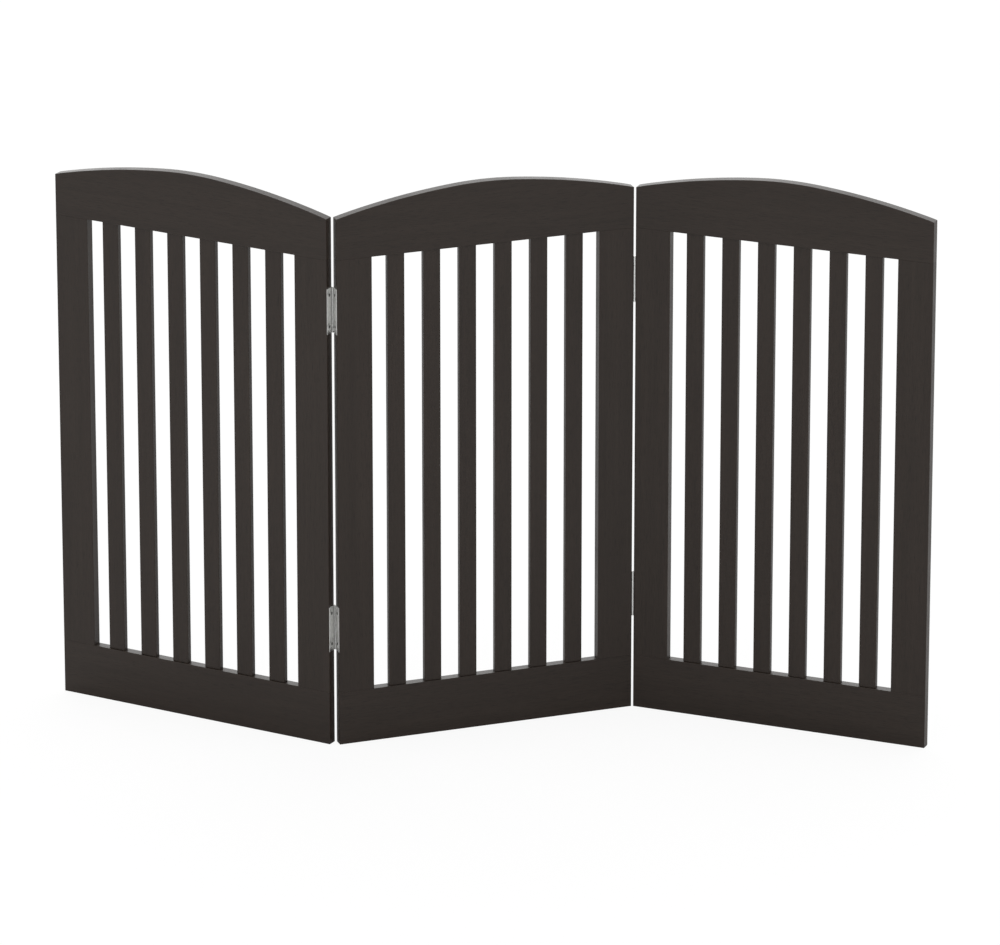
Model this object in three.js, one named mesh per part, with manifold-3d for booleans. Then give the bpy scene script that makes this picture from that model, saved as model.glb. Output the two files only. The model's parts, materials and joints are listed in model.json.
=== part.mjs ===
// A free-standing folding pet gate: three arched wooden panels joined edge to edge by four steel
// butt hinges. The left fold turns about pins behind the panels and the right fold about pins in
// front of them, so that the gate stands as a zigzag and folds flat, one panel on each side of
// the middle one. Millimetres, +Z up, the front of the gate faces -Y, the origin is on the floor
// at the middle of the standing gate's footprint.
import * as THREE from 'three';
import { mergeVertices } from 'three/addons/utils/BufferGeometryUtils.js';
import Module from 'manifold-3d';

// Panel frame. A panel's own x runs from its left end to its right end, y from its front face to
// its back face.
const PANEL_WIDTH = 498;
const PANEL_THICKNESS = 16;
const BOTTOM_RAIL_HEIGHT = 88.6;
const TOP_RAIL_UNDERSIDE = 811;
const STILE_WIDTH = 58.3;
const EASED_EDGE = 0.8;
const GLUE_LINE = 0.15;

// Arch of the top rail: a crown arc in the middle and a flatter arc on each side, tangent to it.
const CROWN_HEIGHT = 914.4;
const CROWN_RADIUS = 600;
const CROWN_HALF_WIDTH = 51;
const FLANK_RADIUS = 1195;
const ARCH_STEPS = 36;

// Slats, thinner than the frame and centred in its thickness.
const SLAT_COUNT = 6;
const SLAT_PITCH = 59.9;
const SLAT_WIDTH = 28.4;
const SLAT_THICKNESS = 10;

// Stub tenons on the slats and dowels in the stiles, with the play left for glue.
const TENON_WIDTH = 22;
const TENON_THICKNESS = 6;
const TENON_LENGTH = 12;
const DOWEL_RADIUS = 4;
const DOWEL_REACH = 25;
const DOWEL_SPACING = 30;
const DOWEL_SIDES = 12;
const JOINT_PLAY = 0.3;

// Butt hinges, 75 mm (3 in) long, pressed from light strip.
const HINGE_LEVELS = { lower: 195, upper: 726 };
const HINGE_LENGTH = 75;
const KNUCKLE_COUNT = 5;
const KNUCKLE_RADIUS = 1.7;
const KNUCKLE_BORE_RADIUS = 1;
const KNUCKLE_GAP = 0.3;
const LEAF_THICKNESS = 0.7;
const LEAF_SETBACK = 0.4;
const LEAF_SEAT_GAP = 0.1;
const PIN_RADIUS = 0.85;
const PIN_HEAD_RADIUS = 1.45;
const PIN_HEAD_THICKNESS = 0.7;
const ROUND_SIDES = 16;

// The pin's axis stands off the end faces of the two panels and off the faces it folds onto.
const PIVOT_FROM_END = 0.9;
const PIVOT_FROM_FACE = 1.5;

// Countersunk screws, two in each leaf.
const SCREW_OFFSET = 26;
const SCREW_LENGTH = 16;
const SCREW_SHANK_RADIUS = 1.2;
const SCREW_HEAD_RADIUS = 2.6;
const SCREW_SINK = 0.05;
const SCREW_PLAY = 0.25;
const SCREW_TIP_LENGTH = 3;
const RECESS_SPAN = 2.8;
const RECESS_SLOT = 0.7;
const RECESS_DEPTH = 0.9;

// Standing pose: each panel's turn about the vertical, from the line of the gate.
const PANEL_TURNS = { left: -29, middle: 20.2, right: -22.1 };

const WOOD_FINISH = { color: 0x3a3532, roughness: 0.45, metalness: 0 };
const HINGE_FINISH = { color: 0xb4b4b2, roughness: 0.35, metalness: 0.9 };
const SCREW_FINISH = { color: 0x9a9a98, roughness: 0.4, metalness: 0.9 };
const PIN_FINISH = { color: 0xc4c4c2, roughness: 0.3, metalness: 0.9 };

const wasm = await Module();
wasm.setup();

function solidOf(geometry) {
  const bare = geometry.clone();
  bare.deleteAttribute('normal');
  bare.deleteAttribute('uv');
  const merged = mergeVertices(bare, 1e-4);
  return new wasm.Manifold(new wasm.Mesh({
    numProp: 3,
    vertProperties: new Float32Array(merged.attributes.position.array),
    triVerts: new Uint32Array(merged.index.array),
  }));
}

function geometryOf(solid) {
  const mesh = solid.getMesh();
  const geometry = new THREE.BufferGeometry();
  geometry.setAttribute('position', new THREE.BufferAttribute(mesh.vertProperties, 3));
  geometry.setIndex(new THREE.BufferAttribute(mesh.triVerts, 1));
  geometry.computeVertexNormals();
  return geometry;
}

function cutAway(solid, cutters) {
  return cutters.reduce((left, cutter) => left.subtract(cutter), solid);
}

function joinAll(solids) {
  return solids.reduce((whole, piece) => whole.add(piece));
}

function addMesh(group, name, solid, finish) {
  const mesh = new THREE.Mesh(geometryOf(solid), new THREE.MeshStandardMaterial(finish));
  mesh.name = name;
  group.add(mesh);
  return mesh;
}

// A block given by its lowest and highest corners.
function block(low, high) {
  const geometry = new THREE.BoxGeometry(high[0] - low[0], high[1] - low[1], high[2] - low[2]);
  geometry.translate((low[0] + high[0]) / 2, (low[1] + high[1]) / 2, (low[2] + high[2]) / 2);
  return solidOf(geometry);
}

// A round bar standing on z from low to high.
function roundBar(radius, sides, x, y, low, high) {
  const geometry = new THREE.CylinderGeometry(radius, radius, high - low, sides);
  geometry.rotateX(Math.PI / 2);
  geometry.translate(x, y, (low + high) / 2);
  return solidOf(geometry);
}

// A standing bar of rectangular section with its four long edges eased.
function easedBar(left, right, front, back, low, high) {
  const e = EASED_EDGE;
  const section = new THREE.Shape([
    new THREE.Vector2(left + e, front),
    new THREE.Vector2(right - e, front),
    new THREE.Vector2(right, front + e),
    new THREE.Vector2(right, back - e),
    new THREE.Vector2(right - e, back),
    new THREE.Vector2(left + e, back),
    new THREE.Vector2(left, back - e),
    new THREE.Vector2(left, front + e),
  ]);
  const geometry = new THREE.ExtrudeGeometry(section, { depth: high - low, bevelEnabled: false });
  geometry.translate(0, 0, low);
  return solidOf(geometry);
}

// A board cut to an outline in the panel's plane, with the edges of both faces eased.
function easedBoard(outline) {
  const geometry = new THREE.ExtrudeGeometry(new THREE.Shape(outline), {
    depth: PANEL_THICKNESS - 2 * EASED_EDGE,
    bevelThickness: EASED_EDGE,
    bevelSize: EASED_EDGE,
    bevelOffset: -EASED_EDGE,
    bevelSegments: 1,
  });
  geometry.rotateX(Math.PI / 2);
  geometry.translate(0, PANEL_THICKNESS - EASED_EDGE, 0);
  return solidOf(geometry);
}

function slatMiddles() {
  const first = PANEL_WIDTH / 2 - SLAT_PITCH * (SLAT_COUNT - 1) / 2;
  return Array.from({ length: SLAT_COUNT }, (_, i) => first + i * SLAT_PITCH);
}

function dowelPlaces(stileMiddle) {
  return [stileMiddle - DOWEL_SPACING / 2, stileMiddle + DOWEL_SPACING / 2];
}

// The mortises and dowel holes of a rail, sunk to the given depth on one side of its joint plane.
function railJoints(jointZ, side) {
  const span = (depth) => [Math.min(jointZ - side, jointZ + side * depth),
    Math.max(jointZ - side, jointZ + side * depth)];
  const [mortiseLow, mortiseHigh] = span(TENON_LENGTH + JOINT_PLAY);
  const [holeLow, holeHigh] = span(DOWEL_REACH + JOINT_PLAY);
  const halfWidth = TENON_WIDTH / 2 + JOINT_PLAY;
  const halfThickness = TENON_THICKNESS / 2 + JOINT_PLAY;
  const middle = PANEL_THICKNESS / 2;
  const mortises = slatMiddles().map((x) => block(
    [x - halfWidth, middle - halfThickness, mortiseLow],
    [x + halfWidth, middle + halfThickness, mortiseHigh],
  ));
  const stiles = [STILE_WIDTH / 2, PANEL_WIDTH - STILE_WIDTH / 2];
  const holes = stiles.flatMap(dowelPlaces).map((x) => roundBar(
    DOWEL_RADIUS + JOINT_PLAY, DOWEL_SIDES, x, middle, holeLow, holeHigh,
  ));
  return [...mortises, ...holes];
}

// Height of the arch at a distance from the middle of the panel. The two arcs share a tangent
// where they meet, so their centres lie on one line through that point.
function archHeight(fromMiddle) {
  const distance = Math.abs(fromMiddle);
  const crownCentre = CROWN_HEIGHT - CROWN_RADIUS;
  if (distance <= CROWN_HALF_WIDTH) {
    return crownCentre + Math.sqrt(CROWN_RADIUS ** 2 - distance ** 2);
  }
  const sine = CROWN_HALF_WIDTH / CROWN_RADIUS;
  const cosine = Math.sqrt(1 - sine ** 2);
  const flankX = (CROWN_RADIUS - FLANK_RADIUS) * sine;
  const flankZ = crownCentre + (CROWN_RADIUS - FLANK_RADIUS) * cosine;
  return flankZ + Math.sqrt(FLANK_RADIUS ** 2 - (distance - flankX) ** 2);
}

function topRail() {
  const outline = [
    new THREE.Vector2(0, TOP_RAIL_UNDERSIDE),
    new THREE.Vector2(PANEL_WIDTH, TOP_RAIL_UNDERSIDE),
  ];
  for (let step = 0; step <= ARCH_STEPS; step += 1) {
    const x = PANEL_WIDTH * (1 - step / ARCH_STEPS);
    outline.push(new THREE.Vector2(x, archHeight(x - PANEL_WIDTH / 2)));
  }
  return cutAway(easedBoard(outline), railJoints(TOP_RAIL_UNDERSIDE, 1));
}

function bottomRail() {
  const outline = [
    new THREE.Vector2(0, 0),
    new THREE.Vector2(PANEL_WIDTH, 0),
    new THREE.Vector2(PANEL_WIDTH, BOTTOM_RAIL_HEIGHT),
    new THREE.Vector2(0, BOTTOM_RAIL_HEIGHT),
  ];
  return cutAway(easedBoard(outline), railJoints(BOTTOM_RAIL_HEIGHT, -1));
}

// A stile with its glued-in dowels. Where a hinge is screwed to its outer edge, face is the x of
// that edge and the pilot holes run inwards from it.
function stile(left, hingedEdge) {
  const low = BOTTOM_RAIL_HEIGHT + GLUE_LINE;
  const high = TOP_RAIL_UNDERSIDE - GLUE_LINE;
  const bar = easedBar(left, left + STILE_WIDTH, 0, PANEL_THICKNESS, low, high);
  const dowels = dowelPlaces(left + STILE_WIDTH / 2).map((x) => roundBar(
    DOWEL_RADIUS, DOWEL_SIDES, x, PANEL_THICKNESS / 2,
    BOTTOM_RAIL_HEIGHT - DOWEL_REACH, TOP_RAIL_UNDERSIDE + DOWEL_REACH,
  ));
  const whole = joinAll([bar, ...dowels]);
  return hingedEdge === null ? whole : cutAway(whole, pilotHoles(hingedEdge));
}

function pilotHoles(hingedEdge) {
  const inwards = hingedEdge === 0 ? 1 : -1;
  const radius = SCREW_SHANK_RADIUS + 3 * SCREW_PLAY;
  const places = Object.values(HINGE_LEVELS).flatMap((z) => [z - SCREW_OFFSET, z + SCREW_OFFSET]);
  return places.map((z) => {
    const geometry = new THREE.CylinderGeometry(radius, radius, 2 * SCREW_LENGTH, ROUND_SIDES);
    geometry.rotateZ(Math.PI / 2);
    geometry.translate(hingedEdge + inwards * JOINT_PLAY, PANEL_THICKNESS / 2, z);
    return solidOf(geometry);
  });
}

function slat(middleX) {
  const front = (PANEL_THICKNESS - SLAT_THICKNESS) / 2;
  const half = SLAT_WIDTH / 2;
  const bar = easedBar(
    middleX - half, middleX + half, front, front + SLAT_THICKNESS,
    BOTTOM_RAIL_HEIGHT + GLUE_LINE, TOP_RAIL_UNDERSIDE - GLUE_LINE,
  );
  const tenon = block(
    [middleX - TENON_WIDTH / 2, (PANEL_THICKNESS - TENON_THICKNESS) / 2,
      BOTTOM_RAIL_HEIGHT - TENON_LENGTH],
    [middleX + TENON_WIDTH / 2, (PANEL_THICKNESS + TENON_THICKNESS) / 2,
      TOP_RAIL_UNDERSIDE + TENON_LENGTH],
  );
  return bar.add(tenon);
}

// The wooden pieces of one panel. hinged says which of its two ends carry hinges.
function addPanel(group, panel, hinged) {
  addMesh(group, `${panel}_panel_top_rail`, topRail(), WOOD_FINISH);
  addMesh(group, `${panel}_panel_bottom_rail`, bottomRail(), WOOD_FINISH);
  const leftStile = stile(0, hinged.left ? 0 : null);
  const rightStile = stile(PANEL_WIDTH - STILE_WIDTH, hinged.right ? PANEL_WIDTH : null);
  addMesh(group, `${panel}_panel_left_stile`, leftStile, WOOD_FINISH);
  addMesh(group, `${panel}_panel_right_stile`, rightStile, WOOD_FINISH);
  slatMiddles().forEach((x, i) => {
    addMesh(group, `${panel}_panel_slat_${i + 1}`, slat(x), WOOD_FINISH);
  });
}

// Hinge pieces are drawn about their own pin: the axis is z through the origin, z = 0 is the
// middle of the hinge, and the panel that the leaf is screwed to lies towards +x and -y.
function knuckleSpan(index) {
  const pitch = HINGE_LENGTH / KNUCKLE_COUNT;
  const low = -HINGE_LENGTH / 2 + index * pitch;
  return [low + KNUCKLE_GAP / 2, low + pitch - KNUCKLE_GAP / 2];
}

// A leaf carries every second knuckle, starting with the first or the second, and is notched
// clear of the other leaf's knuckles.
function hingeLeaf(firstKnuckle) {
  const outerX = PIVOT_FROM_END - LEAF_SEAT_GAP - LEAF_THICKNESS;
  const innerX = PIVOT_FROM_END - LEAF_SEAT_GAP;
  const frontY = -(PIVOT_FROM_FACE + PANEL_THICKNESS - LEAF_SETBACK);
  const half = HINGE_LENGTH / 2;
  let leaf = block([outerX, frontY, -half], [innerX, 0, half]);
  for (let index = 0; index < KNUCKLE_COUNT; index += 1) {
    const [low, high] = knuckleSpan(index);
    if (index % 2 === firstKnuckle) {
      leaf = leaf.add(roundBar(KNUCKLE_RADIUS, ROUND_SIDES, 0, 0, low, high));
    } else {
      const reach = KNUCKLE_RADIUS + JOINT_PLAY;
      const notch = roundBar(reach, ROUND_SIDES, 0, 0, low - KNUCKLE_GAP, high + KNUCKLE_GAP);
      leaf = leaf.subtract(notch);
    }
  }
  // Past the knuckles' own ends the plate stops at the barrel's outline.
  for (const end of [-1, 1]) {
    const low = Math.min(end * half, end * (half - KNUCKLE_GAP / 2)) - 0.01;
    leaf = leaf.subtract(block([outerX - 1, -KNUCKLE_RADIUS, low],
      [innerX + 1, 1, low + KNUCKLE_GAP / 2 + 0.02]));
  }
  const bore = roundBar(KNUCKLE_BORE_RADIUS, ROUND_SIDES, 0, 0, -half - 1, half + 1);
  return cutAway(leaf, [bore, ...screwSinks(outerX)]);
}

function screwY() {
  return -(PIVOT_FROM_FACE + PANEL_THICKNESS / 2);
}

// Countersunk holes through the leaf, a little wider than the screw heads.
function screwSinks(outerX) {
  const wide = SCREW_HEAD_RADIUS + SCREW_PLAY;
  const deep = LEAF_THICKNESS + 2 * SCREW_SINK;
  return [-SCREW_OFFSET, SCREW_OFFSET].map((z) => {
    const geometry = new THREE.CylinderGeometry(wide - deep, wide, deep, ROUND_SIDES);
    geometry.rotateZ(-Math.PI / 2);
    geometry.translate(outerX + deep / 2 - SCREW_SINK, screwY(), z);
    return solidOf(geometry);
  });
}

function hingePin() {
  const end = HINGE_LENGTH / 2;
  const profile = [
    new THREE.Vector2(0, -end - PIN_HEAD_THICKNESS),
    new THREE.Vector2(PIN_HEAD_RADIUS * 0.7, -end - PIN_HEAD_THICKNESS),
    new THREE.Vector2(PIN_HEAD_RADIUS, -end - PIN_HEAD_THICKNESS / 2),
    new THREE.Vector2(PIN_HEAD_RADIUS, -end),
    new THREE.Vector2(PIN_RADIUS, -end),
    new THREE.Vector2(PIN_RADIUS, end),
    new THREE.Vector2(PIN_HEAD_RADIUS, end),
    new THREE.Vector2(PIN_HEAD_RADIUS, end + PIN_HEAD_THICKNESS / 2),
    new THREE.Vector2(PIN_HEAD_RADIUS * 0.7, end + PIN_HEAD_THICKNESS),
    new THREE.Vector2(0, end + PIN_HEAD_THICKNESS),
  ];
  const geometry = new THREE.LatheGeometry(profile, ROUND_SIDES);
  geometry.rotateX(Math.PI / 2);
  return solidOf(geometry);
}

// A screw that points to +x, its head a little below the leaf's outer side at x = 0.
function countersunkScrew() {
  const headDepth = SCREW_HEAD_RADIUS - SCREW_SHANK_RADIUS;
  const profile = [
    new THREE.Vector2(0, 0),
    new THREE.Vector2(SCREW_SHANK_RADIUS, SCREW_TIP_LENGTH),
    new THREE.Vector2(SCREW_SHANK_RADIUS, SCREW_LENGTH - headDepth),
    new THREE.Vector2(SCREW_HEAD_RADIUS, SCREW_LENGTH),
    new THREE.Vector2(0, SCREW_LENGTH),
  ];
  const geometry = new THREE.LatheGeometry(profile, ROUND_SIDES);
  geometry.rotateZ(Math.PI / 2);
  geometry.translate(SCREW_LENGTH + SCREW_SINK, 0, 0);
  const half = RECESS_SPAN / 2;
  const slot = RECESS_SLOT / 2;
  const recess = [
    block([-1, -half, -slot], [RECESS_DEPTH, half, slot]),
    block([-1, -slot, -half], [RECESS_DEPTH, slot, half]),
  ];
  return cutAway(solidOf(geometry), recess);
}

// One leaf and its two screws, seated on a panel's edge. turn stands the leaf the right way round.
function addLeaf(panelGroup, hinge, side, pivot, level, turn, firstKnuckle) {
  const seat = new THREE.Group();
  seat.position.set(pivot.x, pivot.y, level);
  seat.rotation.set(turn.x, turn.y, turn.z);
  panelGroup.add(seat);
  addMesh(seat, `${hinge}_${side}_leaf`, hingeLeaf(firstKnuckle), HINGE_FINISH);
  [-SCREW_OFFSET, SCREW_OFFSET].forEach((z) => {
    const raised = turn.x + turn.y === 0 ? z : -z;
    const name = `${hinge}_${side}_screw_${raised > 0 ? 'upper' : 'lower'}`;
    const screw = addMesh(seat, name, countersunkScrew(), SCREW_FINISH);
    screw.position.set(PIVOT_FROM_END - LEAF_SEAT_GAP - LEAF_THICKNESS, screwY(), z);
  });
  return seat;
}

// The two hinges of one fold. The middle panel carries the pins and the leaves with the outer
// knuckles, the side panel the leaves between them.
function addFold(fold, middle, side) {
  for (const [levelName, level] of Object.entries(HINGE_LEVELS)) {
    const hinge = `${fold}_${levelName}_hinge`;
    const seat = addLeaf(middle.group, hinge, 'middle', middle.pivot, level, middle.turn, 0);
    addMesh(seat, `${hinge}_pin`, hingePin(), PIN_FINISH);
    addLeaf(side.group, hinge, 'side', side.pivot, level, side.turn, 1);
  }
}

const gate = new THREE.Group();
const middlePanel = new THREE.Group();
middlePanel.rotation.z = THREE.MathUtils.degToRad(PANEL_TURNS.middle);
gate.add(middlePanel);
addPanel(middlePanel, 'middle', { left: true, right: true });

// Where the pins stand, in the middle panel's own x and y and in the side panel's.
const FAR_END = PANEL_WIDTH + PIVOT_FROM_END;
const BEHIND = PANEL_THICKNESS + PIVOT_FROM_FACE;
const leftPivot = new THREE.Vector2(-PIVOT_FROM_END, BEHIND);
const rightPivot = new THREE.Vector2(FAR_END, -PIVOT_FROM_FACE);

// A side panel's group hangs on its pins, so that turning the outer group folds the panel.
function sidePanel(name, pivot, ownPivot, hinged) {
  const fold = new THREE.Group();
  fold.position.set(pivot.x, pivot.y, 0);
  fold.rotation.z = THREE.MathUtils.degToRad(PANEL_TURNS[name] - PANEL_TURNS.middle);
  const group = new THREE.Group();
  group.position.set(-ownPivot.x, -ownPivot.y, 0);
  fold.add(group);
  middlePanel.add(fold);
  addPanel(group, name, hinged);
  return group;
}

const leftOwnPivot = new THREE.Vector2(FAR_END, BEHIND);
const rightOwnPivot = new THREE.Vector2(-PIVOT_FROM_END, -PIVOT_FROM_FACE);
const leftPanel = sidePanel('left', leftPivot, leftOwnPivot, { left: false, right: true });
const rightPanel = sidePanel('right', rightPivot, rightOwnPivot, { left: true, right: false });

addFold(
  'left',
  { group: middlePanel, pivot: leftPivot, turn: { x: 0, y: 0, z: 0 } },
  { group: leftPanel, pivot: leftOwnPivot, turn: { x: 0, y: Math.PI, z: 0 } },
);
addFold(
  'right',
  { group: middlePanel, pivot: rightPivot, turn: { x: 0, y: 0, z: Math.PI } },
  { group: rightPanel, pivot: rightOwnPivot, turn: { x: Math.PI, y: 0, z: 0 } },
);

// Bring the middle of the footprint to the origin.
gate.updateMatrixWorld(true);
const footprint = new THREE.Box3().setFromObject(gate, true).getCenter(new THREE.Vector3());
middlePanel.position.set(-footprint.x, -footprint.y, 0);
gate.updateMatrixWorld(true);

export default gate;
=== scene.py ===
import json
import math
import random

import bmesh
import bpy
from mathutils import Matrix, Vector


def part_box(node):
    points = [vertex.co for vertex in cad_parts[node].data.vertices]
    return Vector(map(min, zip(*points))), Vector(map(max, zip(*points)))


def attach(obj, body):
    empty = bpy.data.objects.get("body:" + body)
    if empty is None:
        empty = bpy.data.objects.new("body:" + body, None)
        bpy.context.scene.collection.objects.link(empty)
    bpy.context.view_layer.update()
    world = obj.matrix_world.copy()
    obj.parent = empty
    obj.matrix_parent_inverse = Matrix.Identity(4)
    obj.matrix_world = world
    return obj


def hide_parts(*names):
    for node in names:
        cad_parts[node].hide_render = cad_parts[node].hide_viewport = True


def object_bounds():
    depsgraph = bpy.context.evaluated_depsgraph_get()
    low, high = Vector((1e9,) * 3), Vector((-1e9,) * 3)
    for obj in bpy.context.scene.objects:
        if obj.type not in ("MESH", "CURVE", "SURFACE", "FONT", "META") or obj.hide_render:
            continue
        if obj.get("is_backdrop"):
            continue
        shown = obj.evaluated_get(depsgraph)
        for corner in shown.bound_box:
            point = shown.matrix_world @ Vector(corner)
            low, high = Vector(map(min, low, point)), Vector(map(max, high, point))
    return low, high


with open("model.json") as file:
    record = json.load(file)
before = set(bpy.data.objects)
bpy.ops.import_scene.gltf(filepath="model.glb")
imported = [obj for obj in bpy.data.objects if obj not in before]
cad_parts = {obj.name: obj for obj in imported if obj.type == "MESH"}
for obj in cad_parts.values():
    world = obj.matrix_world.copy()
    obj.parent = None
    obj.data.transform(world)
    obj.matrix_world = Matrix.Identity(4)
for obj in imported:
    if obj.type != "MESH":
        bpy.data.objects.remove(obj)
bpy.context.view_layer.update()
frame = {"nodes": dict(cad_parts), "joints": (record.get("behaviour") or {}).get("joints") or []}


# ---- Bottom rails -----------------------------------------------------------------------------
# The board that each panel stands on, as long as the panel is wide and 16 mm thick. It is planed
# softwood, sanded, stained and sprayed with a satin espresso lacquer, and its long edges are eased
# by sandpaper. The stiles are dowelled and glued to its upper edge.

panels = ("left", "middle", "right")
mm = 0.001
rail_ease = 0.8 * mm
joint_ease = 0.3 * mm
sharpest_radius = 0.02 * mm
easing_run = 1.5 * mm
corner_steps = 4
rail_steps = 12
lacquer_dark = (0.0222, 0.0153, 0.0114, 1)
lacquer_light = (0.0308, 0.0216, 0.0164, 1)
pore_dark = (0.0080, 0.0055, 0.0040, 1)
rubbed_brown = (0.070, 0.046, 0.031, 1)
band_stretch = (2.2, 42, 42)
streak_stretch = (7, 210, 210)
pore_stretch = (60, 1700, 1700)
pore_start, pore_full = 0.56, 0.68
pore_strength = 0.7
figure_low, figure_high = 0.32, 0.68
band_share = 0.45
peel_scale = 520.0
peel_share = 0.3
film_relief = 0.07 * mm
lacquer_bump = 0.35
lacquer_glossiest = 0.33
lacquer_dullest = 0.42
gloss_patches = 14.0
lacquer_ior = 1.38
edge_wear = 0.45
grain_order = random.Random(7)
grain_spread = 40


def middle_of(node):
    low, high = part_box(node)
    return (low + high) / 2


def panel_place(panel):
    """The panel's own frame: x along it, y from front to back, the floor under its middle at 0."""
    first = middle_of(f"{panel}_panel_slat_1")
    last = middle_of(f"{panel}_panel_slat_6")
    turn = math.atan2(last.y - first.y, last.x - first.x)
    middle = (first + last) / 2
    return Matrix.Translation((middle.x, middle.y, 0)) @ Matrix.Rotation(turn, 4, "Z")


def box_in_panel(node, panel):
    """Lowest and highest corner of a node, measured along its panel's own axes."""
    back = panel_place(panel).inverted()
    points = [back @ vertex.co for vertex in frame["nodes"][node].data.vertices]
    low = Vector([min(point[axis] for point in points) for axis in range(3)])
    high = Vector([max(point[axis] for point in points) for axis in range(3)])
    return low, high


def section(low, high, radii):
    """A rectangle with rounded corners, as (across, up, share of rounding) points, anticlockwise."""
    corners = (
        (low[0], low[1], 1, 1, 180),
        (high[0], low[1], -1, 1, 270),
        (high[0], high[1], -1, -1, 0),
        (low[0], high[1], 1, -1, 90),
    )
    ring = []
    for (across, up, inward, upward, start), radius in zip(corners, radii):
        for step in range(corner_steps + 1):
            angle = math.radians(start + 90 * step / corner_steps)
            ring.append((
                across + inward * radius + radius * math.cos(angle),
                up + upward * radius + radius * math.sin(angle),
                math.sin(math.pi * step / corner_steps),
            ))
    return ring


def board_rings(stations, end_ease):
    """Adds rounded ends to a run of (along, low, high, radii) stations and gives its sections."""
    rings = []
    for end, (along, low, high, radii) in ((0, stations[0]), (-1, stations[-1])):
        sign = 1 if end == 0 else -1
        rounded = []
        for step in range(corner_steps):
            angle = math.radians(90 * step / corner_steps)
            inset = end_ease * (1 - math.sin(angle))
            ring = section(
                (low[0] + inset, low[1] + inset),
                (high[0] - inset, high[1] - inset),
                [max(radius - inset, sharpest_radius) for radius in radii],
            )
            share = math.sin(math.pi * step / corner_steps)
            ring = [(a, u, max(eased, share)) for a, u, eased in ring]
            rounded.append((along + sign * end_ease * (1 - math.cos(angle)), ring))
        rings.append(rounded if end == 0 else rounded[::-1])
    first = (stations[0][0] + end_ease, *stations[0][1:])
    last = (stations[-1][0] - end_ease, *stations[-1][1:])
    run = [first, *stations[1:-1], last]
    body = [(along, section(low, high, radii)) for along, low, high, radii in run]
    return rings[0] + body + rings[1]


def make_board(name, panel, rings, point_at):
    """Skins the sections into one closed board, and gives it grain coordinates of its own."""
    points, eased, grain = [], [], []
    seed = Vector([grain_order.uniform(-grain_spread, grain_spread) for _ in range(3)])
    for along, ring in rings:
        for across, up, share in ring:
            points.append(point_at(along, across, up))
            eased.append(share)
            grain.append(Vector((along, across, up)) + seed)
    count = len(rings[0][1])
    faces = [list(range(count))[::-1]]
    for i in range(len(rings) - 1):
        for j in range(count):
            k = (j + 1) % count
            here, there = i * count, (i + 1) * count
            faces.append((here + j, here + k, there + k, there + j))
    faces.append(list(range((len(rings) - 1) * count, len(rings) * count)))
    mesh = bpy.data.meshes.new(name)
    mesh.from_pydata(points, [], faces)
    mesh.attributes.new("eased", "FLOAT", "POINT").data.foreach_set("value", eased)
    flat = [value for vector in grain for value in vector]
    mesh.attributes.new("board", "FLOAT_VECTOR", "POINT").data.foreach_set("vector", flat)
    mesh.shade_smooth()
    board = bpy.data.objects.new(name, mesh)
    bpy.context.scene.collection.objects.link(board)
    board.matrix_world = panel_place(panel)
    board.modifiers.new("even shading", "WEIGHTED_NORMAL").weight = 100
    board.data.materials.append(lacquered_wood)
    return board


def seat_board(board, panel, node):
    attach(board, f"{panel}_panel")
    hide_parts(node)


def new_group(name, inputs, outputs):
    """An empty shader node group with the given sockets, and its input and output nodes."""
    group = bpy.data.node_groups.new(name, "ShaderNodeTree")
    for label, kind, value in inputs:
        socket = group.interface.new_socket(label, in_out="INPUT", socket_type=kind)
        if value is not None:
            socket.default_value = value
    for label, kind in outputs:
        group.interface.new_socket(label, in_out="OUTPUT", socket_type=kind)
    return group, group.nodes.new("NodeGroupInput"), group.nodes.new("NodeGroupOutput")


def add_node(tree, kind, settings=(), **sockets):
    """A node with its settings made and its sockets set, or linked where given another socket.

    A socket is named by its label, or by its number, as in _2 for the third one.
    """
    node = tree.nodes.new(kind)
    for key, value in dict(settings).items():
        setattr(node, key, value)
    for label, value in sockets.items():
        socket = node.inputs[int(label[1:])] if label[1:].isdigit() else node.inputs[label]
        if isinstance(value, bpy.types.NodeSocket):
            tree.links.new(value, socket)
        else:
            socket.default_value = value
    return node


# Gloss that varies softly over a sprayed or plated surface, between its glossiest and dullest.
uneven_gloss, gloss_in, gloss_out = new_group(
    "uneven gloss",
    [("Vector", "NodeSocketVector", None), ("Patch size", "NodeSocketFloat", 12.0),
     ("Glossiest", "NodeSocketFloat", 0.3), ("Dullest", "NodeSocketFloat", 0.45)],
    [("Roughness", "NodeSocketFloat")],
)
patches = add_node(uneven_gloss, "ShaderNodeTexNoise", Vector=gloss_in.outputs["Vector"],
                   Scale=gloss_in.outputs["Patch size"], Detail=4.0, Roughness=0.6)
spread = add_node(uneven_gloss, "ShaderNodeMapRange", _0=patches.outputs["Fac"], _1=0.3, _2=0.7,
                  _3=gloss_in.outputs["Glossiest"], _4=gloss_in.outputs["Dullest"])
uneven_gloss.links.new(spread.outputs["Result"], gloss_out.inputs["Roughness"])

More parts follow.
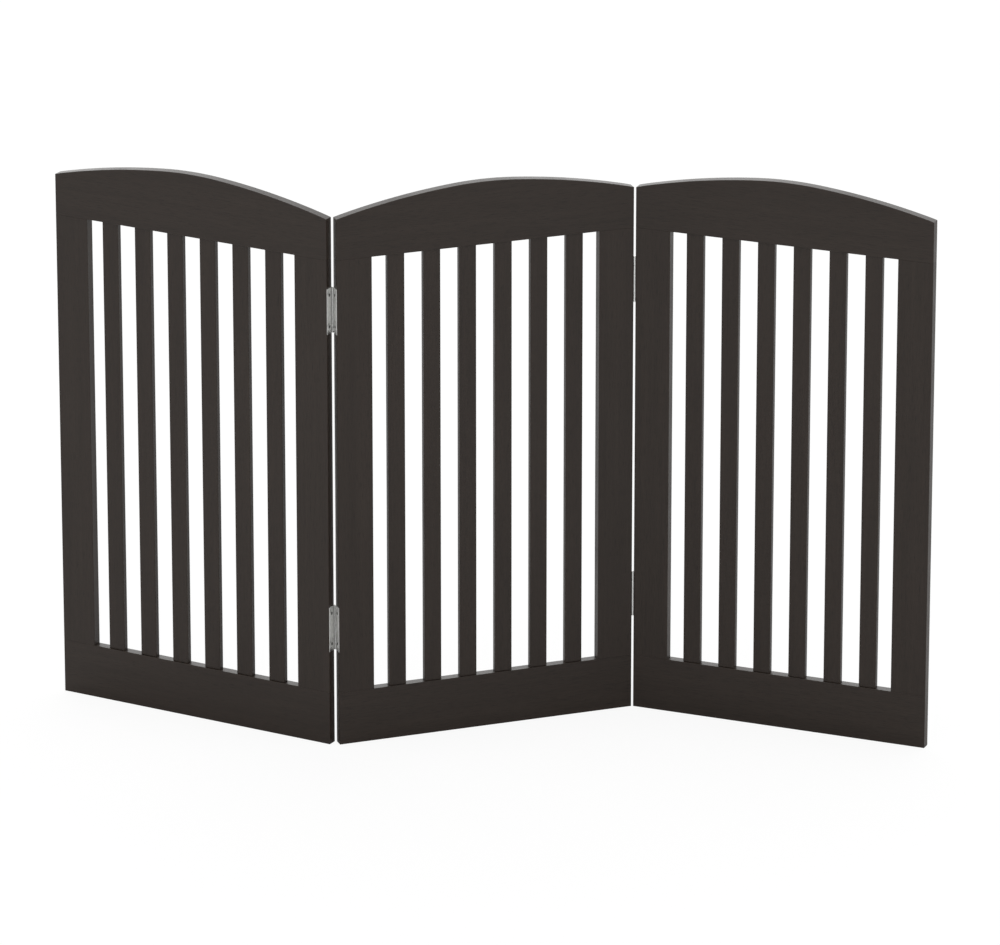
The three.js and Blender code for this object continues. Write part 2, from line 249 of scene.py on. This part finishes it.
# Where corners are handled and knocked, the finish thins in broken stretches.
rubbed_edge, rub_in, rub_out = new_group(
    "rubbed edge",
    [("Vector", "NodeSocketVector", None), ("Edge", "NodeSocketFloat", 0.0),
     ("Amount", "NodeSocketFloat", 0.5)],
    [("Mask", "NodeSocketFloat")],
)
breaks = add_node(rubbed_edge, "ShaderNodeTexNoise", Vector=rub_in.outputs["Vector"],
                  Scale=38.0, Detail=6.0, Roughness=0.7)
broken = add_node(rubbed_edge, "ShaderNodeMapRange", _0=breaks.outputs["Fac"], _1=0.46, _2=0.72)
on_edge = add_node(rubbed_edge, "ShaderNodeMath", {"operation": "MULTIPLY"},
                   _0=broken.outputs["Result"], _1=rub_in.outputs["Edge"])
rubbed = add_node(rubbed_edge, "ShaderNodeMath", {"operation": "MULTIPLY"},
                  _0=on_edge.outputs[0], _1=rub_in.outputs["Amount"])
rubbed_edge.links.new(rubbed.outputs[0], rub_out.inputs["Mask"])


def lacquer_on_wood():
    """Dark stain under satin lacquer: grain and pores just show through the film."""
    material = bpy.data.materials.new("espresso lacquer")
    material.use_nodes = True
    tree = material.node_tree
    shader = tree.nodes["Principled BSDF"]
    board = add_node(tree, "ShaderNodeAttribute", {"attribute_name": "board"}).outputs["Vector"]
    edge = add_node(tree, "ShaderNodeAttribute", {"attribute_name": "eased"}).outputs["Fac"]
    band_place = add_node(tree, "ShaderNodeVectorMath", {"operation": "MULTIPLY"},
                          _0=board, _1=band_stretch)
    bands = add_node(tree, "ShaderNodeTexNoise", Vector=band_place.outputs[0], Scale=1.0,
                     Detail=2.0, Roughness=0.5, Distortion=0.4)
    streak_place = add_node(tree, "ShaderNodeVectorMath", {"operation": "MULTIPLY"},
                            _0=board, _1=streak_stretch)
    streaks = add_node(tree, "ShaderNodeTexNoise", Vector=streak_place.outputs[0], Scale=1.0,
                       Detail=5.0, Roughness=0.6, Distortion=0.6)
    pore_place = add_node(tree, "ShaderNodeVectorMath", {"operation": "MULTIPLY"},
                          _0=board, _1=pore_stretch)
    pores = add_node(tree, "ShaderNodeTexNoise", Vector=pore_place.outputs[0], Scale=1.0,
                     Detail=2.0, Roughness=0.5)
    open_pores = add_node(tree, "ShaderNodeMapRange", _0=pores.outputs["Fac"],
                          _1=pore_start, _2=pore_full, _3=0.0, _4=pore_strength)
    peel = add_node(tree, "ShaderNodeTexNoise", Vector=board, Scale=peel_scale, Detail=1.0)
    figure = add_node(tree, "ShaderNodeMix", {"data_type": "FLOAT"}, _0=band_share,
                      _2=streaks.outputs["Fac"], _3=bands.outputs["Fac"])
    tone = add_node(tree, "ShaderNodeMapRange", _0=figure.outputs[0],
                    _1=figure_low, _2=figure_high)
    stain = add_node(tree, "ShaderNodeMix", {"data_type": "RGBA"}, _0=tone.outputs["Result"],
                     _6=lacquer_dark, _7=lacquer_light)
    filled = add_node(tree, "ShaderNodeMix", {"data_type": "RGBA"},
                      _0=open_pores.outputs["Result"], _6=stain.outputs[2], _7=pore_dark)
    worn = add_node(tree, "ShaderNodeGroup", {"node_tree": rubbed_edge}, Vector=board, Edge=edge,
                    Amount=edge_wear)
    colour = add_node(tree, "ShaderNodeMix", {"data_type": "RGBA"}, _0=worn.outputs["Mask"],
                      _6=filled.outputs[2], _7=rubbed_brown)
    gloss = add_node(tree, "ShaderNodeGroup", {"node_tree": uneven_gloss}, Vector=board,
                     Glossiest=lacquer_glossiest, Dullest=lacquer_dullest)
    gloss.inputs["Patch size"].default_value = gloss_patches
    film = add_node(tree, "ShaderNodeMath", {"operation": "MULTIPLY_ADD"},
                    _0=peel.outputs["Fac"], _1=peel_share, _2=streaks.outputs["Fac"])
    relief = add_node(tree, "ShaderNodeMath", {"operation": "SUBTRACT"},
                      _0=film.outputs[0], _1=open_pores.outputs["Result"])
    bump = add_node(tree, "ShaderNodeBump", Strength=lacquer_bump, Distance=film_relief,
                    Height=relief.outputs[0])
    tree.links.new(colour.outputs[2], shader.inputs["Base Color"])
    tree.links.new(gloss.outputs["Roughness"], shader.inputs["Roughness"])
    tree.links.new(bump.outputs["Normal"], shader.inputs["Normal"])
    shader.inputs["IOR"].default_value = lacquer_ior
    return material


lacquered_wood = lacquer_on_wood()


def rail_point(along, across, up):
    return Vector((along, across, up))


def joint_radii(along, half_width, stile_width, glued_radius, free_radius):
    """The glued edge is left sharp under a stile, and eased over the gaps between the stiles."""
    inner = half_width - stile_width
    share = min(max((inner - abs(along)) / easing_run, 0), 1)
    return glued_radius + (free_radius - glued_radius) * share


def rail_stations(half_width, stile_width, step_count):
    """Where a rail's sections are taken: evenly, and closely where its easing starts."""
    inner = half_width - stile_width
    places = {-half_width + 2 * half_width * i / step_count for i in range(step_count + 1)}
    places |= {side * (inner - offset) for side in (-1, 1) for offset in (0, easing_run)}
    return sorted(places)


for panel in panels:
    node = f"{panel}_panel_bottom_rail"
    low, high = box_in_panel(node, panel)
    half_width = high.x
    stile_low, stile_high = box_in_panel(f"{panel}_panel_left_stile", panel)
    stile_width = stile_high.x - stile_low.x
    stations = []
    for along in rail_stations(half_width, stile_width, rail_steps):
        upper = joint_radii(along, half_width, stile_width, joint_ease, rail_ease)
        radii = (rail_ease, rail_ease, upper, upper)
        stations.append((along, (low.y, low.z), (high.y, high.z), radii))
    rail = make_board(f"{panel}_bottom_rail", panel, board_rings(stations, rail_ease), rail_point)
    seat_board(rail, panel, node)


# ---- Top rails --------------------------------------------------------------------------------
# The same stock, wider, with its upper edge bandsawn to an arch and sanded: a tight crown arc in
# the middle runs into flatter arcs towards the ends. Its lower edge takes the stiles and slats.

crown_radius = 600 * mm
crown_half_width = 51 * mm
flank_radius = 1195 * mm
arch_steps = 64


def arch_height(from_middle, crown_height):
    """The arch's height at a distance from the middle. The two arcs share a tangent."""
    distance = abs(from_middle)
    crown_centre = crown_height - crown_radius
    if distance <= crown_half_width:
        return crown_centre + math.sqrt(crown_radius ** 2 - distance ** 2)
    sine = crown_half_width / crown_radius
    cosine = math.sqrt(1 - sine ** 2)
    flank_x = (crown_radius - flank_radius) * sine
    flank_z = crown_centre + (crown_radius - flank_radius) * cosine
    return flank_z + math.sqrt(flank_radius ** 2 - (distance - flank_x) ** 2)


for panel in panels:
    node = f"{panel}_panel_top_rail"
    low, high = box_in_panel(node, panel)
    half_width = high.x
    stations = []
    for along in rail_stations(half_width, stile_width, arch_steps):
        lower = joint_radii(along, half_width, stile_width, joint_ease, rail_ease)
        radii = (lower, lower, rail_ease, rail_ease)
        top = arch_height(along, high.z)
        stations.append((along, (low.y, low.z), (high.y, top), radii))
    rail = make_board(f"{panel}_top_rail", panel, board_rings(stations, rail_ease), rail_point)
    seat_board(rail, panel, node)


# ---- Stiles -----------------------------------------------------------------------------------
# Two uprights butted between the rails of each panel and held by glued dowels, which are out of
# sight. Their ends are cut square and stay sharp, so the joint shows as a hairline in the finish.

stile_ease = 0.8 * mm
glue_line = 0.08 * mm


def upright_point(along, across, up):
    return Vector((across, up, along))


def upright_span(panel):
    """The clear height between a panel's rails, less the glue line at both ends."""
    bottom = box_in_panel(f"{panel}_panel_bottom_rail", panel)[1].z
    top = box_in_panel(f"{panel}_panel_top_rail", panel)[0].z
    return bottom + glue_line, top - glue_line


def upright(name, panel, node, ease):
    """A board of the node's own section, standing between the rails."""
    low, high = box_in_panel(node, panel)
    radii = (ease,) * 4
    stations = [(along, (low.x, low.y), (high.x, high.y), radii) for along in upright_span(panel)]
    board = make_board(name, panel, board_rings(stations, joint_ease), upright_point)
    seat_board(board, panel, node)


for panel in panels:
    for side in ("left", "right"):
        upright(f"{panel}_{side}_stile", panel, f"{panel}_panel_{side}_stile", stile_ease)


# ---- Slats ------------------------------------------------------------------------------------
# Six thin uprights in each panel, 10 mm thick and centred in the frame, so that they stand back
# from its faces. Stub tenons at their ends sit in mortises in the rails and aren't seen.

slat_ease = 1.0 * mm

for panel in panels:
    for place in range(1, 7):
        upright(f"{panel}_slat_{place}", panel, f"{panel}_panel_slat_{place}", slat_ease)


# ---- Hinge leaves -----------------------------------------------------------------------------
# Pressed from 0.7 mm steel strip and zinc plated. Each leaf's fingers are rolled round the pin to
# make its knuckles, and its screw holes are countersunk. The leaves lie on the stiles' edges.

leaf_thickness = 0.7 * mm
knuckle_wall = 0.68 * mm
knuckle_middle_radius = 1.35 * mm
hinge_length = 75 * mm
knuckle_count = 5
knuckle_gap = 0.3 * mm
leaf_middle_x = 0.45 * mm
leaf_front_y = -17.1 * mm
bend_start_y = -2.4 * mm
bend_pull = 0.65 * mm
roll_start, roll_end = math.radians(-35), math.radians(235)
bend_steps, roll_steps = 5, 26
screw_y = -9.5 * mm
screw_offset = 26 * mm
sink_top_radius, sink_low_radius = 2.85 * mm, 2.05 * mm
sink_overlap = 0.1 * mm
round_segments = 32
weld_reach = 0.002 * mm
leaf_edge = 0.1 * mm
leaf_edge_angle = 40
zinc = (0.84, 0.84, 0.825, 1)
zinc_dull = (0.70, 0.70, 0.69, 1)
zinc_glossiest = 0.28
zinc_dullest = 0.40
rolling_height = 0.02 * mm


def leaf_path():
    """The strip's middle line in plan, with half its thickness: flat, then bent, then rolled."""
    path = [(Vector((leaf_middle_x, leaf_front_y)), leaf_thickness / 2)]
    start = Vector((leaf_middle_x, bend_start_y))
    finish = knuckle_middle_radius * Vector((math.cos(roll_start), math.sin(roll_start)))
    leave = start + Vector((0, bend_pull))
    arrive = finish - bend_pull * Vector((-math.sin(roll_start), math.cos(roll_start)))
    for step in range(bend_steps):
        t = step / bend_steps
        point = ((1 - t) ** 3 * start + 3 * (1 - t) ** 2 * t * leave
                 + 3 * (1 - t) * t ** 2 * arrive + t ** 3 * finish)
        path.append((point, (leaf_thickness + (knuckle_wall - leaf_thickness) * t) / 2))
    for step in range(roll_steps + 1):
        angle = roll_start + (roll_end - roll_start) * step / roll_steps
        point = knuckle_middle_radius * Vector((math.cos(angle), math.sin(angle)))
        path.append((point, knuckle_wall / 2))
    return path


def knuckle_levels():
    """The heights at which knuckles start and end, from the bottom of the hinge to its top."""
    pitch = hinge_length / knuckle_count
    levels = [-hinge_length / 2]
    for index in range(1, knuckle_count):
        seam = -hinge_length / 2 + index * pitch
        levels += [seam - knuckle_gap / 2, seam + knuckle_gap / 2]
    return levels + [hinge_length / 2]


def strip_mesh(name, first_knuckle):
    """The bent strip as one closed skin: the plate at every height, fingers only at its own."""
    path = leaf_path()
    levels = knuckle_levels()
    sides = []
    for i, (point, half) in enumerate(path):
        before, after = path[max(i - 1, 0)][0], path[min(i + 1, len(path) - 1)][0]
        run = (after - before).normalized()
        left = Vector((-run.y, run.x))
        sides.append((point + half * left, point - half * left))

    def present(i, j):
        if not (0 <= i < len(path) - 1 and 0 <= j < len(levels) - 1):
            return False
        return i == 0 or (j % 2 == 0 and (j // 2) % 2 == first_knuckle)

    shell = bmesh.new()
    made = {}

    def corner(i, j, side):
        if (i, j, side) not in made:
            place = sides[i][side]
            made[i, j, side] = shell.verts.new((place.x, place.y, levels[j]))
        return made[i, j, side]

    for i in range(len(path) - 1):
        for j in range(len(levels) - 1):
            if not present(i, j):
                continue
            round_the_cell = [(i, j), (i + 1, j), (i + 1, j + 1), (i, j + 1)]
            shell.faces.new([corner(*place, 1) for place in round_the_cell])
            shell.faces.new([corner(*place, 0) for place in reversed(round_the_cell)])
            neighbours = [(i, j - 1), (i + 1, j), (i, j + 1), (i - 1, j)]
            for k, neighbour in enumerate(neighbours):
                if present(*neighbour):
                    continue
                a, b = round_the_cell[k], round_the_cell[(k + 1) % 4]
                shell.faces.new([corner(*b, 1), corner(*a, 1), corner(*a, 0), corner(*b, 0)])
    bmesh.ops.recalc_face_normals(shell, faces=shell.faces)
    mesh = bpy.data.meshes.new(name)
    shell.to_mesh(mesh)
    shell.free()
    return mesh


def turned_mesh(name, profile, segments):
    """A closed solid of revolution about z from (radius, height) points that start and end on z."""
    shell = bmesh.new()
    rings = []
    for radius, height in profile:
        if radius == 0:
            rings.append([shell.verts.new((0, 0, height))])
            continue
        angles = [2 * math.pi * k / segments for k in range(segments)]
        rings.append([shell.verts.new((radius * math.cos(a), radius * math.sin(a), height))
                      for a in angles])
    for low, high in zip(rings, rings[1:]):
        for k in range(segments):
            n = (k + 1) % segments
            if len(low) == 1:
                shell.faces.new((low[0], high[n], high[k]))
            elif len(high) == 1:
                shell.faces.new((low[k], low[n], high[0]))
            else:
                shell.faces.new((low[k], low[n], high[n], high[k]))
    bmesh.ops.recalc_face_normals(shell, faces=shell.faces)
    mesh = bpy.data.meshes.new(name)
    shell.to_mesh(mesh)
    shell.free()
    return mesh


def cut_mesh(mesh, cutters):
    """The mesh less each (cutter mesh, place), with doubled points welded afterwards."""
    body = bpy.data.objects.new("blank", mesh)
    bpy.context.scene.collection.objects.link(body)
    helpers = []
    for cutter, place in cutters:
        helper = bpy.data.objects.new("cutter", cutter)
        helper.matrix_world = place
        bpy.context.scene.collection.objects.link(helper)
        helpers.append(helper)
        cut = body.modifiers.new("cut", "BOOLEAN")
        cut.operation = "DIFFERENCE"
        cut.solver = "EXACT"
        cut.object = helper
    bpy.context.view_layer.update()
    evaluated = body.evaluated_get(bpy.context.evaluated_depsgraph_get())
    result = bpy.data.meshes.new_from_object(evaluated)
    for helper in [body, *helpers]:
        bpy.data.objects.remove(helper)
    weld = bmesh.new()
    weld.from_mesh(result)
    bmesh.ops.remove_doubles(weld, verts=weld.verts, dist=weld_reach)
    weld.to_mesh(result)
    weld.free()
    return result


def finish_metal(piece, edge, edge_angle):
    """Breaks a pressed or turned piece's sharp edges and evens its shading."""
    piece.data.shade_smooth()
    broken = piece.modifiers.new("broken edges", "BEVEL")
    broken.width = edge
    broken.segments = 2
    broken.limit_method = "ANGLE"
    broken.angle_limit = math.radians(edge_angle)
    piece.modifiers.new("even shading", "WEIGHTED_NORMAL").weight = 100


def plated_steel(name, bright, dull, glossiest, dullest, line_height):
    """Zinc on rolled strip: fine lines along the rolling, and cloudy patches in the plating."""
    material = bpy.data.materials.new(name)
    material.use_nodes = True
    tree = material.node_tree
    shader = tree.nodes["Principled BSDF"]
    place = add_node(tree, "ShaderNodeTexCoord").outputs["Object"]
    clouds = add_node(tree, "ShaderNodeTexNoise", Vector=place, Scale=240.0, Detail=5.0,
                      Roughness=0.6)
    clouded = add_node(tree, "ShaderNodeMapRange", _0=clouds.outputs["Fac"], _1=0.3, _2=0.7)
    colour = add_node(tree, "ShaderNodeMix", {"data_type": "RGBA"}, _0=clouded.outputs["Result"],
                      _6=bright, _7=dull)
    gloss = add_node(tree, "ShaderNodeGroup", {"node_tree": uneven_gloss}, Vector=place,
                     Glossiest=glossiest, Dullest=dullest)
    gloss.inputs["Patch size"].default_value = 420.0
    line_place = add_node(tree, "ShaderNodeVectorMath", {"operation": "MULTIPLY"},
                          _0=place, _1=(6000, 6000, 120))
    lines = add_node(tree, "ShaderNodeTexNoise", Vector=line_place.outputs[0], Scale=1.0,
                     Detail=2.0)
    bump = add_node(tree, "ShaderNodeBump", Strength=0.3, Distance=line_height,
                    Height=lines.outputs["Fac"])
    tree.links.new(colour.outputs[2], shader.inputs["Base Color"])
    tree.links.new(gloss.outputs["Roughness"], shader.inputs["Roughness"])
    tree.links.new(bump.outputs["Normal"], shader.inputs["Normal"])
    shader.inputs["Metallic"].default_value = 1.0
    return material


zinc_plate = plated_steel("zinc plate", zinc, zinc_dull, zinc_glossiest, zinc_dullest,
                          rolling_height)
sink_depth = leaf_thickness + sink_overlap
sink = turned_mesh("countersink", [
    (0, -sink_overlap), (sink_top_radius + sink_overlap, -sink_overlap),
    (sink_low_radius, sink_depth), (0, sink_depth)], round_segments)
towards_wood = Matrix.Rotation(math.radians(90), 4, "Y")
leaf_face_x = leaf_middle_x - leaf_thickness / 2
screw_places = [Matrix.Translation((leaf_face_x, screw_y, height)) @ towards_wood
                for height in (-screw_offset, screw_offset)]
leaf_meshes = {}
for leaf, first_knuckle in (("middle", 0), ("side", 1)):
    blank = strip_mesh(f"{leaf} leaf", first_knuckle)
    leaf_meshes[leaf] = cut_mesh(blank, [(sink, place) for place in screw_places])
    leaf_meshes[leaf].materials.append(zinc_plate)

# How a leaf is turned to lie on its own panel's edge: it is drawn with its wood towards +x, -y.
leaf_turns = {
    ("left", "middle"): Matrix.Identity(4),
    ("left", "side"): Matrix.Rotation(math.pi, 4, "Y"),
    ("right", "middle"): Matrix.Rotation(math.pi, 4, "Z"),
    ("right", "side"): Matrix.Rotation(math.pi, 4, "X"),
}


def hinge_place(fold, level, leaf):
    """Where a leaf's own frame stands: on the fold's axis, at the pin's middle height."""
    joint = next(joint for joint in frame["joints"] if joint["name"] == f"{fold}_fold")
    height = middle_of(f"{fold}_{level}_hinge_pin").z
    panel = "middle" if leaf == "middle" else fold
    turn = panel_place(panel).to_3x3().to_4x4()
    spot = Matrix.Translation((joint["pos_m"][0], joint["pos_m"][1], height))
    return spot @ turn @ leaf_turns[fold, leaf]


def leaf_body(fold, leaf):
    return "middle_panel" if leaf == "middle" else f"{fold}_panel"


hinges = [(fold, level) for fold in ("left", "right") for level in ("lower", "upper")]
for fold, level in hinges:
    for leaf in ("middle", "side"):
        name = f"{fold}_{level}_{leaf}_leaf"
        plate = bpy.data.objects.new(name, leaf_meshes[leaf])
        bpy.context.scene.collection.objects.link(plate)
        plate.matrix_world = hinge_place(fold, level, leaf)
        finish_metal(plate, leaf_edge, leaf_edge_angle)
        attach(plate, leaf_body(fold, leaf))
        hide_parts(f"{fold}_{level}_hinge_{leaf}_leaf")


# ---- Hinge pins -------------------------------------------------------------------------------
# A length of bright drawn wire through the five knuckles, with both ends spun over into low round
# heads, so that the hinge can't come apart.

pin_radius = 0.85 * mm
pin_head_radius = 1.45 * mm
pin_head_height = 0.7 * mm
pin_head_land = 0.15 * mm
dome_steps = 5
pin_edge = 0.08 * mm
turned_edge_angle = 50
drawn_steel = (0.93, 0.93, 0.92, 1)
drawn_steel_dull = (0.84, 0.84, 0.83, 1)
drawn_glossiest = 0.22
drawn_dullest = 0.34

half_length = hinge_length / 2
dome_height = pin_head_height - pin_head_land
dome = [(pin_head_radius * math.cos(math.radians(90 * k / dome_steps)),
         half_length + pin_head_land + dome_height * math.sin(math.radians(90 * k / dome_steps)))
        for k in range(dome_steps)]
upper_half = [(pin_radius, half_length), (pin_head_radius, half_length), *dome]
lower_half = [(radius, -height) for radius, height in reversed(upper_half)]
tip = half_length + pin_head_height
pin_mesh = turned_mesh("hinge pin", [(0, -tip), *lower_half, *upper_half, (0, tip)],
                       round_segments)
pin_mesh.materials.append(
    plated_steel("drawn steel", drawn_steel, drawn_steel_dull, drawn_glossiest, drawn_dullest,
                 rolling_height))

for fold, level in hinges:
    pin = bpy.data.objects.new(f"{fold}_{level}_pin", pin_mesh)
    bpy.context.scene.collection.objects.link(pin)
    pin.matrix_world = hinge_place(fold, level, "middle")
    finish_metal(pin, pin_edge, turned_edge_angle)
    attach(pin, "middle_panel")
    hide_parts(f"{fold}_{level}_hinge_pin")


# ---- Screws -----------------------------------------------------------------------------------
# Two countersunk cross-recess wood screws through each leaf into the stile's edge, zinc plated, but
# coloured dark here as painted shade of their sunk heads and recesses.
# Each was driven until its head lay just under the leaf, and each stopped at its own angle.

screw_head_radius = 2.6 * mm
screw_shank_radius = 1.2 * mm
screw_length = 16 * mm
screw_tip = 3 * mm
head_rim = 0.12 * mm
bit_overlap = 0.2 * mm
recess_depth = 1.35 * mm
recess_reach = 1.55 * mm
recess_half_slot = 0.36 * mm
recess_taper = 0.55
head_sink = 0.05 * mm
screw_edge = 0.06 * mm
# Painted shade: the screw steel is coloured dark to stand for the shade in the sunk heads and cross
# recesses, and darker still in its cloudy patches.
screw_shade_steel = (0.20, 0.20, 0.195, 1)
screw_deeper_shade_steel = (0.11, 0.11, 0.11, 1)
screw_glossiest = 0.34
screw_dullest = 0.5
screw_line_height = 0.01 * mm
driving = random.Random(11)

cone_end = screw_head_radius - screw_shank_radius + head_rim
screw_blank = turned_mesh("wood screw", [
    (0, 0), (screw_head_radius - head_rim, 0), (screw_head_radius, head_rim),
    (screw_shank_radius, cone_end), (screw_shank_radius, screw_length - screw_tip),
    (0, screw_length)], round_segments)


def recess_blade(turn):
    """One of the two crossed blades of the driver's bit, narrower at its point."""
    blade = bmesh.new()
    corners = []
    for depth, scale in ((-bit_overlap, 1.0), (recess_depth, recess_taper)):
        reach, slot = recess_reach * scale, recess_half_slot * scale
        for x, y in ((-reach, -slot), (reach, -slot), (reach, slot), (-reach, slot)):
            corners.append(blade.verts.new((x, y, depth)))
    top, tip_face = corners[:4], corners[4:]
    blade.faces.new(top[::-1])
    blade.faces.new(tip_face)
    for k in range(4):
        n = (k + 1) % 4
        blade.faces.new((top[k], top[n], tip_face[n], tip_face[k]))
    bmesh.ops.recalc_face_normals(blade, faces=blade.faces)
    mesh = bpy.data.meshes.new("driver blade")
    blade.to_mesh(mesh)
    blade.free()
    return mesh, Matrix.Rotation(turn, 4, "Z")


screw_mesh = cut_mesh(screw_blank, [recess_blade(0), recess_blade(math.pi / 2)])
screw_mesh.materials.append(
    plated_steel("screw steel dark as painted shade", screw_shade_steel, screw_deeper_shade_steel, screw_glossiest, screw_dullest,
                 screw_line_height))

for fold, level in hinges:
    for leaf in ("middle", "side"):
        place = hinge_place(fold, level, leaf)
        for spot in screw_places:
            stop = Matrix.Rotation(driving.uniform(0, math.pi / 2), 4, "Z")
            where = place @ spot @ Matrix.Translation((0, 0, head_sink)) @ stop
            end = "upper" if where.translation.z > place.translation.z else "lower"
            screw = bpy.data.objects.new(f"{fold}_{level}_{leaf}_screw_{end}", screw_mesh)
            bpy.context.scene.collection.objects.link(screw)
            screw.matrix_world = where
            finish_metal(screw, screw_edge, turned_edge_angle)
            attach(screw, leaf_body(fold, leaf))
            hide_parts(f"{fold}_{level}_hinge_{leaf}_screw_{end}")


# ---- Studio -----------------------------------------------------------------------------------
# A plain pale floor under a soft white sky that grows brighter behind the gate. The camera sees
# the floor mostly as lit paper, with only the softest contact shadow.

floor_half_width = 40.0
paper_grey = (0.8, 0.8, 0.8, 1)
pure_white = (1, 1, 1, 1)
seen_brightness = 1.05
paper_glow_share = 0.85
sky_turn_start = 0.3
sky_front_strength = 0.91
sky_back_strength = 2.08
camera_distance = 11.787
camera_height = 4.5544
camera_side = 0.0123
camera_pitch = math.radians(19.336)
lens_length = 282.26
sensor_width = 36.0
clip_end = 200.0

floor_mesh = bpy.data.meshes.new("floor")
reach = floor_half_width
floor_mesh.from_pydata([(-reach, -reach, 0), (reach, -reach, 0), (reach, reach, 0),
                        (-reach, reach, 0)], [], [(0, 1, 2, 3)])
floor = bpy.data.objects.new("floor", floor_mesh)
bpy.context.scene.collection.objects.link(floor)
floor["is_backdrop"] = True
paper = bpy.data.materials.new("floor paper")
paper.use_nodes = True
paper_tree = paper.node_tree
paper_tree.nodes.remove(paper_tree.nodes["Principled BSDF"])
seen = add_node(paper_tree, "ShaderNodeLightPath").outputs["Is Camera Ray"]
seen_share = add_node(paper_tree, "ShaderNodeMath", {"operation": "MULTIPLY"}, _0=seen,
                      _1=paper_glow_share)
matt = add_node(paper_tree, "ShaderNodeBsdfDiffuse", Color=paper_grey)
lit = add_node(paper_tree, "ShaderNodeEmission", Color=pure_white, Strength=seen_brightness)
both = add_node(paper_tree, "ShaderNodeMixShader", _0=seen_share.outputs[0],
                _1=matt.outputs[0], _2=lit.outputs[0])
paper_out = paper_tree.nodes["Material Output"]
paper_tree.links.new(both.outputs[0], paper_out.inputs["Surface"])
floor.data.materials.append(paper)

world = bpy.data.worlds.new("studio")
bpy.context.scene.world = world
world.use_nodes = True
sky = world.node_tree
sky_light = sky.nodes["Background"]
direction = add_node(sky, "ShaderNodeTexCoord").outputs["Generated"]
split = add_node(sky, "ShaderNodeSeparateXYZ", Vector=direction)
towards_back = add_node(sky, "ShaderNodeMapRange", {"interpolation_type": "SMOOTHSTEP"},
                        _0=split.outputs["Y"], _1=sky_turn_start, _2=1.0,
                        _3=sky_front_strength, _4=sky_back_strength)
sky.links.new(towards_back.outputs["Result"], sky_light.inputs["Strength"])
sky_light.inputs["Color"].default_value = pure_white
backdrop = add_node(sky, "ShaderNodeBackground", Color=pure_white, Strength=seen_brightness)
seen_sky = add_node(sky, "ShaderNodeLightPath").outputs["Is Camera Ray"]
either = add_node(sky, "ShaderNodeMixShader", _0=seen_sky, _1=sky_light.outputs[0],
                  _2=backdrop.outputs[0])
sky.links.new(either.outputs[0], sky.nodes["World Output"].inputs["Surface"])

camera_data = bpy.data.cameras.new("camera")
camera_data.lens = lens_length
camera_data.sensor_width = sensor_width
camera_data.sensor_fit = "HORIZONTAL"
camera_data.clip_end = clip_end
camera = bpy.data.objects.new("camera", camera_data)
camera.location = (camera_side, -camera_distance, camera_height)
camera.rotation_euler = (math.pi / 2 - camera_pitch, 0, 0)
bpy.context.scene.collection.objects.link(camera)
bpy.context.scene.camera = camera
bpy.context.scene.view_settings.view_transform = "Standard"

low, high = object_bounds()
